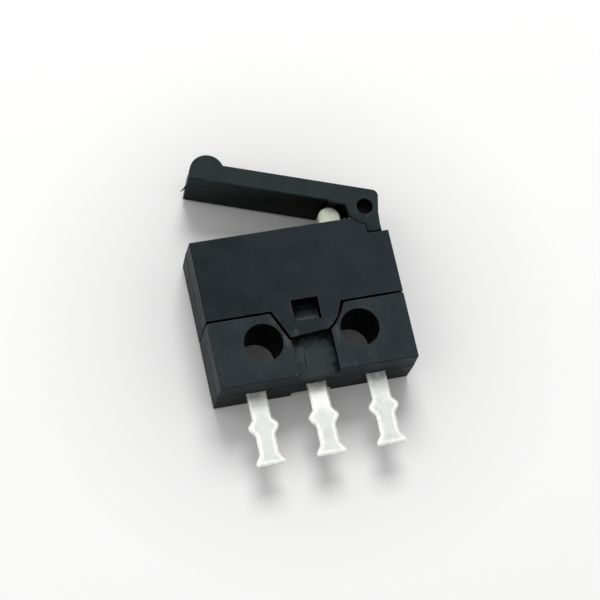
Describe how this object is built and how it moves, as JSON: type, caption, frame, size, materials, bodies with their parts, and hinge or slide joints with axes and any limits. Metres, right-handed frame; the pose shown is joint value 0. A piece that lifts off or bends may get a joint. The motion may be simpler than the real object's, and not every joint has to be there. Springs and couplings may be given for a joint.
{
  "type": "micro switch",
  "caption": "Ultra-subminiature snap-action switch: black moulded housing with two mounting holes, hinged lever with moulded half roller, plunger and flat barbed terminals.",
  "frame": {"origin": "midway between the two mounting holes, on the housing's back face", "axes": "+X along the housing towards the lever's pivot, +Y from the terminals towards the plunger and lever, +Z through the thickness, from the back face to the front face"},
  "size_m": [0.0082, 0.0131, 0.0027],
  "materials": {
    "base_plastic": "satin moulded thermoplastic, charcoal black",
    "cover_plastic": "satin moulded thermoplastic, charcoal black",
    "lever_plastic": "satin moulded thermoplastic, charcoal black",
    "plunger_plastic": "natural cream-white moulded thermoplastic",
    "terminal_metal": "silver-white plating, satin, stamped",
    "contact_metal": "silver contact, satin",
    "spring_bronze": "rolled copper alloy strip",
    "spring_steel": "bright spring steel"
  },
  "bodies": {
    "housing": {"base": "base_plastic", "cover": "cover_plastic", "com_terminal": "terminal_metal", "no_terminal": "terminal_metal", "nc_terminal": "terminal_metal", "no_contact": "contact_metal", "nc_contact": "contact_metal"},
    "lever": {"lever": "lever_plastic"},
    "plunger": {"plunger": "plunger_plastic"},
    "inner_lever": {"inner_lever": "spring_steel"},
    "contact_arm": {"contact_arm": "spring_bronze", "moving_contact": "contact_metal", "tension_spring": "spring_steel"}
  },
  "joints": [
    {"name": "lever_hinge", "type": "hinge", "parent": "housing", "child": "lever", "pos_m": [0.00341, 0.00512, 0.00135], "axis": [0, 0, 1], "range_deg": [0, 15], "stiffness_Nm_per_rad": 0.006, "springref_deg": -5.73},
    {"name": "plunger_slide", "type": "slide", "parent": "housing", "child": "plunger", "axis": [0, 1, 0], "range_m": [-0.0004, 0]},
    {"name": "inner_lever_hinge", "type": "hinge", "parent": "housing", "child": "inner_lever", "pos_m": [0.00352, 0.0031, 0.00135], "axis": [0, 0, 1], "range_deg": [0, 14.5]},
    {"name": "contact_arm_hinge", "type": "hinge", "parent": "housing", "child": "contact_arm", "pos_m": [0.0009, 0.00262, 0.00135], "axis": [0, 0, 1], "range_deg": [0, 8.2], "deforming": ["tension_spring"]}
  ],
  "couplings": [
    {"joint": "plunger_slide", "follows": "lever_hinge", "m_per_rad": -0.0014173},
    {"joint": "inner_lever_hinge", "follows": "lever_hinge", "ratio": 0.92131},
    {"joint": "contact_arm_hinge", "follows": "lever_hinge", "ratio": 0.52728}
  ]
}
